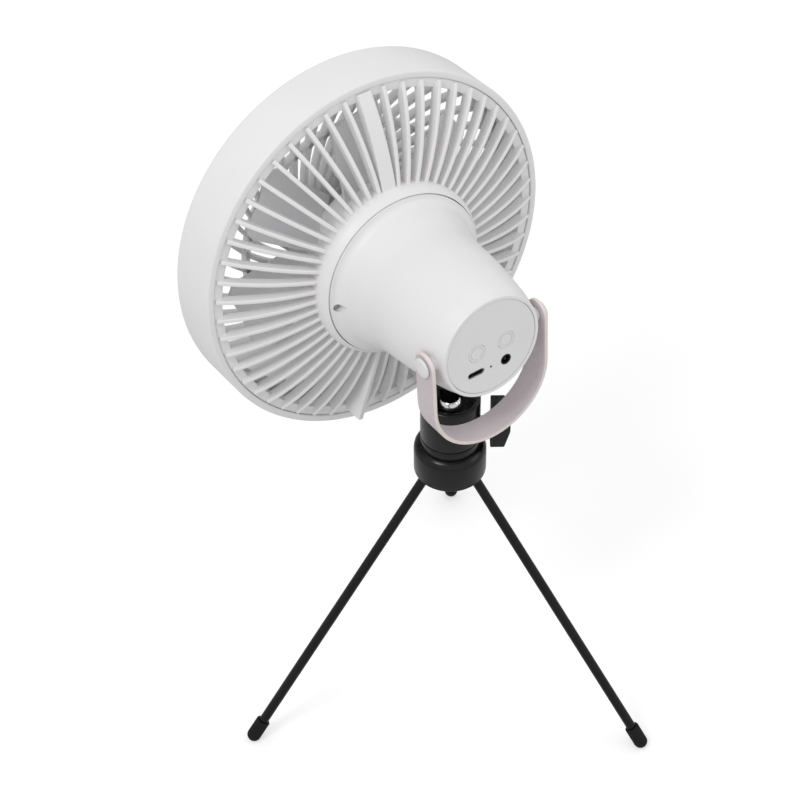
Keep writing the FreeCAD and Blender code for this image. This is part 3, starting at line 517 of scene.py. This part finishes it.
# %% Lamp cover
lamp = turned(
    [(0, -32.2), (12.0, -31.9), (22.5, -30.4), (22.5, -26.6), (20.9, -26.6), (20.9, -28.6), (0, -30.2)],
    [(1, 6.0), (2, 0.8)],
)
finished(
    "lamp_cover", moved(lamp, head_place), "fan_head", [lamp_polycarbonate],
    ["lamp_lens"], sharp=40,
)

# %% [markdown]
# The hub flares where it meets the grille, narrows in one hollow sweep, and ends in a crisp round
# mouth that holds the cap. Its outline is a smooth curve through a handful of measured points:
# each stretch is a Bezier whose handles follow the neighbouring points.

# %% Hub outline


def smooth_run(points, pieces=8):
    """A smooth curve through points of (radius, station)."""
    spots = [Vector((x, y, 0)) for x, y in points]
    ends = [spots[0] * 2 - spots[1]] + spots + [spots[-1] * 2 - spots[-2]]
    run = []
    for before, here, after, last in zip(ends, ends[1:], ends[2:], ends[3:]):
        start_handle = here + (after - before) / 6
        end_handle = after - (last - here) / 6
        run += interpolate_bezier(here, start_handle, end_handle, after, pieces + 1)[:-1]
    run.append(spots[-1])
    return [(spot.x, spot.y) for spot in run]


hub_neck = [(37.2, 26.5), (36.1, 30.0), (34.6, 35.0), (33.0, 42.0), (31.5, 60.5), (28.8, 80.0), (26.3, 90.0)]
hub_flare = [(41.4, 22.4), (39.6, 22.9), (38.2, 24.2)]
outside = smooth_run(hub_flare + hub_neck, 6)
print("hub outline has", len(outside), "points")

# %% [markdown]
# The two recessed screws need real holes. Boolean is the plain way to make a hole in a finished
# shell, and it is applied at once, so that only a mesh is left. The shell is thick at its foot, so
# that a hole has walls all round and doesn't open into the hollow hub.

# %% Hub


def cut_with(mesh, cutters):
    """Take cutters away from a mesh with a Boolean that is applied at once."""
    objects = []
    for name, source in (("whole", mesh), ("cutters", cutters)):
        data = bpy.data.meshes.new(name)
        source.to_mesh(data)
        source.free()
        objects.append(bpy.data.objects.new(name, data))
        bpy.context.scene.collection.objects.link(objects[-1])
    whole, tool = objects
    step = whole.modifiers.new("holes", "BOOLEAN")
    step.operation = "DIFFERENCE"
    step.solver = "EXACT"
    step.object = tool
    bpy.context.view_layer.update()
    ready = whole.evaluated_get(bpy.context.evaluated_depsgraph_get())
    result = bmesh.new()
    result.from_mesh(ready.to_mesh())
    ready.to_mesh_clear()
    for item in objects:
        data = item.data
        bpy.data.objects.remove(item)
        bpy.data.meshes.remove(data)
    return result


screw_orbit = 38.0
hub_wall = 2.2
inside = [(radius - hub_wall, station) for radius, station in reversed(outside)]
hub_outline = outside + [(26.15, 91.0), (25.8, 91.4), (24.4, 91.4), (24.4, 89.0), (22.4, 89.0), (22.4, 85.4)]
recess_floor = 19.4
recess_top = 28.5
thick_end = 31.5
hub_outline += [spot for spot in inside if spot[1] > thick_end]
hub_outline += [(33.4, thick_end), (33.4, recess_floor), (39.2, recess_floor), (39.2, 11.5), (41.4, 11.5)]
hub = turned(hub_outline, steps=192)
screw_holes = repeated(
    moved(
        turned([(0, recess_floor), (2.3, recess_floor), (2.3, recess_top), (0, recess_top)], steps=32),
        shift(screw_orbit, 0, 0),
    ),
    (0, 180),
)
hub = cut_with(hub, screw_holes)
boss = turned([(0, 0), (11.0, 0), (11.0, 14.0), (0, 14.0)], [(1, 0.4)], steps=96)
boss = moved(boss, turn(90, "X"), shift(0, 53.5, -36.7))
side_boss = turned([(0, 24.6), (3.4, 24.6), (3.4, 29.9), (0, 29.9)], [(2, 0.4)], steps=64)
side_boss = moved(side_boss, shift(0, 0, 84.0), turn(90, "Y"))
side_bosses = repeated(side_boss, (0, 180))
screw_seat = turned([(1.9, 16.0), (3.3, 16.0), (3.3, recess_floor), (1.9, recess_floor)], steps=32)
screw_seats = repeated(moved(screw_seat, shift(screw_orbit, 0, 0)), (0, 180))
hub = joined(hub, boss, side_bosses, screw_seats)
finished(
    "hub_moulding", moved(hub, head_place), "fan_head", [housing_abs],
    ["hub_shell"], sharp=34,
)

# %% [markdown]
# The round power socket sits behind the cap, and only its nose comes up to the cap's face. It is
# turned as one outline with a deep bore, and the contact pin stands in the middle of the bore.

# %% Power socket
socket_place = head_place @ shift(-7.4, 11.0, 0)
socket_body = turned(
    [
        (0, 85.4), (4.0, 85.4), (4.0, 88.9), (2.75, 88.9), (2.75, 91.2), (2.1, 91.2), (2.1, 86.4), (0, 86.4),
    ],
    [(4, 0.15), (5, 0.15)], steps=64,
)
socket_pin = turned([(0, 86.3), (0.8, 86.3), (0.8, 90.6), (0, 90.6)], [(2, 0.4)], steps=32)
finished(
    "power_socket", moved(joined(socket_body, socket_pin), socket_place), "fan_head",
    [port_plastic], ["dc_jack"],
)

# %% [markdown]
# The carry strap is a flat band bent to a deep U. It starts as one short edge across the band:
# pulled down, swung half round, and pulled up again. Its ends are rounded by a corner bevel, and
# a Solidify gives it its thickness, with the edge paint as the second material on the rim.

# %% Carry strap
strap_half = 31.0
strap_drop = 23.8
strap_breadth = 13.6
strap_mesh = bmesh.new()
low = strap_mesh.verts.new((strap_half, -strap_breadth / 2, strap_breadth / 2))
high = strap_mesh.verts.new((strap_half, strap_breadth / 2, strap_breadth / 2))
front_edge = strap_mesh.edges.new((low, high))


def pulled(mesh, edge, offset):
    """Extrude one edge by an offset, and give back the new edge."""
    grown = bmesh.ops.extrude_edge_only(mesh, edges=[edge])["geom"]
    verts = [item for item in grown if isinstance(item, bmesh.types.BMVert)]
    bmesh.ops.translate(mesh, vec=offset, verts=verts)
    edges = [item for item in grown if isinstance(item, bmesh.types.BMEdge)]
    return next(item for item in edges if set(item.verts) == set(verts))


first_ends = [low, high]
edge = pulled(strap_mesh, front_edge, (0, 0, -strap_breadth / 2 - strap_drop))
swung = bmesh.ops.spin(
    strap_mesh, geom=[edge], axis=(0, 1, 0), cent=(0, 0, -strap_drop), angle=math.pi, steps=36,
    use_merge=False, use_duplicate=False,
)
last_edge = next(item for item in swung["geom_last"] if isinstance(item, bmesh.types.BMEdge))
last_edge = pulled(strap_mesh, last_edge, (0, 0, strap_breadth / 2 + strap_drop))
for end in (first_ends, list(last_edge.verts)):
    bmesh.ops.bevel(
        strap_mesh, geom=end, offset=strap_breadth / 2 - 0.02, offset_type="OFFSET",
        affect="VERTICES", segments=10, profile=0.5, material=-1,
    )
bmesh.ops.recalc_face_normals(strap_mesh, faces=strap_mesh.faces)
strap_hang = head_frame @ shift(0, 84.0, 0) @ turn(-2.5, "X")
strap = finished(
    "strap_band", moved(strap_mesh, strap_hang), "strap",
    [strap_film, strap_edge_paint], ["carry_strap"], sharp=60,
)
thickness = strap.modifiers.new("band thickness", "SOLIDIFY")
thickness.thickness = 0.002
thickness.offset = 0.0
thickness.material_offset_rim = 1
soft_edges = strap.modifiers.new("soft edges", "BEVEL")
soft_edges.width = 0.0005
soft_edges.segments = 3
soft_edges.limit_method = "ANGLE"
soft_edges.angle_limit = math.radians(50)
print("strap drops", strap_half + strap_drop, "mm below its pins")

# %% [markdown]
# Two pins with broad, low heads hold the strap. A head is turned, and laid on its side.

# %% Strap pins
pin = turned([(0, 24.8), (2.4, 24.8), (2.4, 32.5), (4.9, 32.5), (4.9, 33.7), (0, 33.7)], [(4, 0.9)], steps=64)
pin = moved(pin, shift(0, 0, 84.0), turn(90, "Y"))
finished(
    "strap_rivets", moved(repeated(pin, (0, 180)), head_place), "fan_head",
    [cap_abs], ["strap_pins"],
)

# %% [markdown]
# The impeller is a cup with seven broad blades. A blade starts as a flat grid. Each of its points
# is then set by a short formula: twist falls from root to tip, the chord grows, the section bows,
# and the two outer corners are round. A solidify makes it a plate.

# %% Impeller
blade_count = 7
blade_root = 28.0
blade_tip = 71.0
corner_round = 4.0
blade_middle = -15.5
blade_phase = 139.6


def blade_point(run, reach):
    """run goes from -1 to 1 across the chord, reach from 0 at the root to 1 at the tip."""
    radius = blade_root + (blade_tip - blade_root) * reach
    half_chord = (28.0 + (34.0 - 28.0) * reach) / 2
    past = max(0.0, radius - (blade_tip - corner_round))
    half_chord -= corner_round - math.sqrt(max(0.0, corner_round ** 2 - past ** 2))
    pitch = math.radians(32.0 + (17.0 - 32.0) * reach)
    along = run * half_chord
    bow = 2.0 * (1 - run * run)
    station = blade_middle + along * math.sin(pitch) + bow * math.cos(pitch)
    up = along * math.cos(pitch) - bow * math.sin(pitch)
    return Vector((-math.sqrt(radius * radius - up * up), -up, station))


def blade():
    mesh = bmesh.new()
    bmesh.ops.create_grid(mesh, x_segments=12, y_segments=24, size=1.0)
    for vert in mesh.verts:
        reach = math.sin((vert.co.y + 1) * math.pi / 4)
        vert.co = blade_point(vert.co.x, reach)
    bmesh.ops.recalc_face_normals(mesh, faces=mesh.faces)
    bmesh.ops.solidify(mesh, geom=mesh.faces, thickness=1.5)
    bmesh.ops.recalc_face_normals(mesh, faces=mesh.faces)
    return mesh


impeller_cup = turned(
    [
        (0, -17.3), (31.0, -17.3), (31.0, 6.5), (29.2, 6.5), (29.2, -13.7), (20.8, -13.7),
        (20.8, 7.0), (19.0, 7.0), (19.0, -15.5), (0, -15.5),
    ],
    [(1, 4.0), (2, 0.4)],
)
blade_angles = [blade_phase + i * 360 / blade_count for i in range(blade_count)]
impeller = joined(impeller_cup, repeated(blade(), blade_angles))
finished(
    "impeller_moulding", moved(impeller, head_place), "impeller",
    [blade_plastic_lightened_for_shade], ["impeller"], sharp=35,
)

# %% [markdown]
# The ball head: a chrome ball with a black stem, held in a black barrel whose top is dished so
# that the stem can lean. The ball is a sphere cut flat where the stem starts.

# %% Ball and stem
ball = bmesh.new()
bmesh.ops.create_uvsphere(ball, u_segments=64, v_segments=40, radius=7.0)
cut_height = math.sqrt(7.0 ** 2 - 4.7 ** 2)
cut = bmesh.ops.bisect_plane(
    ball, geom=ball.verts[:] + ball.edges[:] + ball.faces[:], plane_co=(0, 0, cut_height),
    plane_no=(0, 0, 1), clear_outer=True,
)
flat_rim = [item for item in cut["geom_cut"] if isinstance(item, bmesh.types.BMEdge)]
bmesh.ops.contextual_create(ball, geom=flat_rim)
finished("chrome_ball", moved(ball, stem_place), "ball", [ball_chrome], ["lock_ball"])

stem = turned(
    [(0, cut_height), (4.7, cut_height), (4.7, 14.5), (6.2, 18.5), (0, 18.5)], [(2, 1.5)], steps=64,
)
finished("stem_neck", moved(stem, stem_place), "ball", [rod_paint], ["ball_stem"])
platform = turned([(3.2, 18.5), (10.5, 18.5), (10.5, 21.5), (3.2, 21.5)], [(1, 0.5), (2, 0.5)], steps=96)
finished(
    "head_platform", moved(platform, stem_place), "ball", [black_anodising],
    ["camera_platform"],
)
pad = turned([(3.4, 21.5), (10.0, 21.5), (10.0, 23.0), (3.4, 23.0)], [(2, 0.3)], steps=96)
finished("grip_pad", moved(pad, stem_place), "ball", [foot_rubber], ["platform_pad"])

# %% [markdown]
# The barrel's top is dished as a cone down to the ball, and the same outline goes on as its bore.
# A narrower step on the base leaves the fine groove between the two.

# %% Barrel of the ball head
barrel = turned(
    [
        (0, 171.9), (14.5, 171.9), (14.5, 197.0), (12.6, 197.0), (6.95, 191.4), (7.05, 190.2),
        (7.05, 175.7), (0, 175.7),
    ],
    [(2, 1.4), (3, 0.5), (1, 0.2)],
)
finished(
    "ball_barrel", moved(barrel, metres), "ball_base", [stand_nylon],
    ["ball_housing"],
)
barrel_base = turned(
    [(3.15, 166.5), (14.5, 166.5), (14.5, 171.3), (14.0, 171.3), (14.0, 171.9), (3.15, 171.9)],
    [(1, 0.5), (2, 0.2)],
)
finished(
    "barrel_base", moved(barrel_base, metres), "ball_base", [stand_nylon],
    ["housing_base"],
)

# %% [markdown]
# The clamp knob is a small wing. Its side outline is drawn once, thickened by an extrude, and all
# of its edges are softened. The round neck behind it is turned.

# %% Clamp knob
knob_height = ball_height - 11.2
knob_mesh = bmesh.new()
wing = [(19.2, -13.5), (26.0, -13.5), (28.8, -3.0), (28.8, 3.0), (26.0, 13.5), (19.2, 13.5)]
wing_face = knob_mesh.faces.new([knob_mesh.verts.new((x, -4.8, z)) for x, z in wing])
grown = bmesh.ops.extrude_face_region(knob_mesh, geom=[wing_face])
far = [item for item in grown["geom"] if isinstance(item, bmesh.types.BMVert)]
bmesh.ops.translate(knob_mesh, vec=(0, 9.6, 0), verts=far)
bmesh.ops.recalc_face_normals(knob_mesh, faces=knob_mesh.faces)
ends = [e for e in knob_mesh.edges if abs(e.verts[0].co.z) > 11 and abs(e.verts[1].co.z) > 11]
long_ends = [e for e in ends if abs(e.verts[0].co.x - e.verts[1].co.x) > 1]
bmesh.ops.bevel(
    knob_mesh, geom=long_ends, offset=1.0, offset_type="OFFSET", affect="EDGES",
    segments=5, profile=0.5, material=-1,
)
bmesh.ops.bevel(
    knob_mesh, geom=knob_mesh.edges, offset=0.45, offset_type="OFFSET", affect="EDGES",
    segments=2, profile=0.5, material=-1,
)
knob_neck = moved(turned([(0, 14.8), (3.0, 14.8), (3.0, 19.8), (0, 19.8)], steps=48), turn(90, "Y"))
knob_place = metres @ shift(0, 0, knob_height) @ turn(146.0, "Z")
finished(
    "knob_wing", moved(joined(knob_mesh, knob_neck), knob_place), "knob",
    [stand_nylon], ["clamp_knob"],
)

# %% [markdown]
# The stand's collar is a broad satin ring with a soft shoulder. The light draws two small
# highlights on that shoulder, so its round is turned with plenty of segments.

# %% Collar
collar_cover = turned(
    [(16.4, 148.1), (17.7, 148.1), (17.7, 166.3), (3.15, 166.3), (3.15, 162.9), (16.4, 162.9)],
    [(1, 0.7), (2, 4.6)],
)
finished(
    "stand_collar", moved(collar_cover, metres), "stand", [stand_nylon],
    ["tripod_collar"],
)

# %% [markdown]
# Three steel rods under glossy paint, each with a rubber foot pushed on. Rod and foot are turned
# about their own line, hung from the pivot, swung out, and carried round the stand. A foot is cut
# level where it stands on the floor.

# %% Legs
leg_length = 186.0
leg_splay = 35.3
pivot_height = 3.3 + leg_length * math.cos(math.radians(leg_splay))
leg_angles = {"a": 354.0, "b": 114.0, "c": 234.0}


def leg_place(angle):
    """From a leg hanging straight down from the origin to its place."""
    return metres @ turn(angle, "Z") @ shift(8.2, 0, pivot_height) @ turn(-leg_splay, "Y")


for letter, angle in leg_angles.items():
    rod = turned(
        [(0, -leg_length + 2.0), (2.45, -leg_length + 2.0), (2.45, 2.4), (0, 2.4)], [(2, 2.3)], steps=40,
    )
    finished(
        "rod_" + letter, moved(rod, leg_place(angle)), "leg_" + letter, [rod_paint],
        ["leg_rod_" + letter],
    )
    foot = turned(
        [(0, -3.65), (3.65, -3.65), (3.65, 10.0), (2.5, 10.0), (2.5, 2.0), (0, 2.0)],
        [(1, 3.6), (2, 0.4)], steps=48,
    )
    foot = moved(foot, leg_place(angle), shift(0, 0, -leg_length))
    level = bmesh.ops.bisect_plane(
        foot, geom=foot.verts[:] + foot.edges[:] + foot.faces[:], plane_co=(0, 0, 0),
        plane_no=(0, 0, -1), clear_outer=True,
    )
    bmesh.ops.contextual_create(
        foot, geom=[item for item in level["geom_cut"] if isinstance(item, bmesh.types.BMEdge)],
    )
    finished(
        "foot_" + letter, foot, "leg_" + letter, [foot_rubber],
        ["leg_foot_" + letter],
    )

# %% [markdown]
# The floor is plain paper that takes the lamps' light and keeps the shadow. To the camera it also
# shows a little light of its own, which lifts it to white without lighting the fan.

# %% Floor
floor_mesh = bmesh.new()
bmesh.ops.create_grid(floor_mesh, x_segments=1, y_segments=1, size=6.0)
floor_data = bpy.data.meshes.new("studio_floor")
floor_mesh.to_mesh(floor_data)
floor_mesh.free()
floor = bpy.data.objects.new("studio_floor", floor_data)
bpy.context.scene.collection.objects.link(floor)


def seen_directly(tree):
    """1 for rays that come from the camera, straight or through glass."""
    path = add_node(tree, "ShaderNodeLightPath")
    return add_node(
        tree, "ShaderNodeMath", {"operation": "MAXIMUM"},
        links={0: path.outputs["Is Camera Ray"], 1: path.outputs["Is Transmission Ray"]},
    ).outputs[0]


paper = bpy.data.materials.new("matt_white_paper")
paper.use_nodes = True
paper_tree = paper.node_tree
paper_tree.nodes.clear()
lit_paper = add_node(paper_tree, "ShaderNodeBsdfDiffuse", values={"Color": linear("#D2D2D2")})
lift = add_node(
    paper_tree, "ShaderNodeMath", {"operation": "MULTIPLY"}, {1: 0.45}, {0: seen_directly(paper_tree)},
)
bright = add_node(paper_tree, "ShaderNodeEmission", links={"Strength": lift.outputs[0]})
both = add_node(
    paper_tree, "ShaderNodeAddShader", links={0: lit_paper.outputs["BSDF"], 1: bright.outputs["Emission"]},
)
add_node(paper_tree, "ShaderNodeOutputMaterial", links={"Surface": both.outputs["Shader"]})
floor_data.materials.append(paper)
print("floor laid")

# %% [markdown]
# An even surround does most of the lighting. It is white to the camera and plainer for all other
# rays. A soft lamp from the left models the round forms, and a weak one fills the right.

# %% Surround and lamps
world = bpy.data.worlds.new("white_surround")
bpy.context.scene.world = world
world.use_nodes = True
sky = world.node_tree
sky.nodes.clear()
strength = add_node(
    sky, "ShaderNodeMapRange", values={"To Min": 0.78, "To Max": 1.0}, links={"Value": seen_directly(sky)},
)
glow = add_node(
    sky, "ShaderNodeBackground", values={"Color": (1, 1, 1, 1)},
    links={"Strength": strength.outputs["Result"]},
)
add_node(sky, "ShaderNodeOutputWorld", links={"Surface": glow.outputs["Background"]})


def soft_lamp(name, place, target, size, power):
    """A square lamp that faces a target."""
    data = bpy.data.lights.new(name, "AREA")
    data.size = size
    data.energy = power
    lamp_object = bpy.data.objects.new(name, data)
    bpy.context.scene.collection.objects.link(lamp_object)
    lamp_object.location = place
    facing = Vector(target) - Vector(place)
    lamp_object.rotation_euler = facing.to_track_quat("-Z", "Y").to_euler()
    print("lamp", name, power, "W")


soft_lamp("key", (1.2, 0.2, 1.9), (0, 0, 0.2), 0.6, 10)
soft_lamp("fill", (-1.4, 1.2, 1.2), (0, 0, 0.2), 0.9, 3)

# %% [markdown]
# The camera stands where the photographer stood: behind the fan, to one side, and looking down by
# 45 degrees through a long lens. Its turn is built from the direction it looks in, and a small
# roll.

# %% Camera
eye = Vector((0.4184, 0.5838, 0.9185))
looking = Vector((-0.3908, -0.5856, -0.7102)).normalized()
level_right = looking.cross(Vector((0, 0, 1))).normalized()
level_up = level_right.cross(looking).normalized()
roll = math.radians(-0.87)
right = level_right * math.cos(roll) + level_up * math.sin(roll)
up = level_up * math.cos(roll) - level_right * math.sin(roll)
lens_data = bpy.data.cameras.new("photographer")
lens_data.lens = 2146.6 * 36 / 800
lens_data.sensor_width = 36
camera = bpy.data.objects.new("photographer", lens_data)
camera.matrix_world = Matrix((
    (right.x, up.x, -looking.x, eye.x),
    (right.y, up.y, -looking.y, eye.y),
    (right.z, up.z, -looking.z, eye.z),
    (0, 0, 0, 1),
))
bpy.context.scene.collection.objects.link(camera)
bpy.context.scene.camera = camera
bpy.context.scene.view_settings.view_transform = "Standard"
print("lens", round(lens_data.lens, 1), "mm")
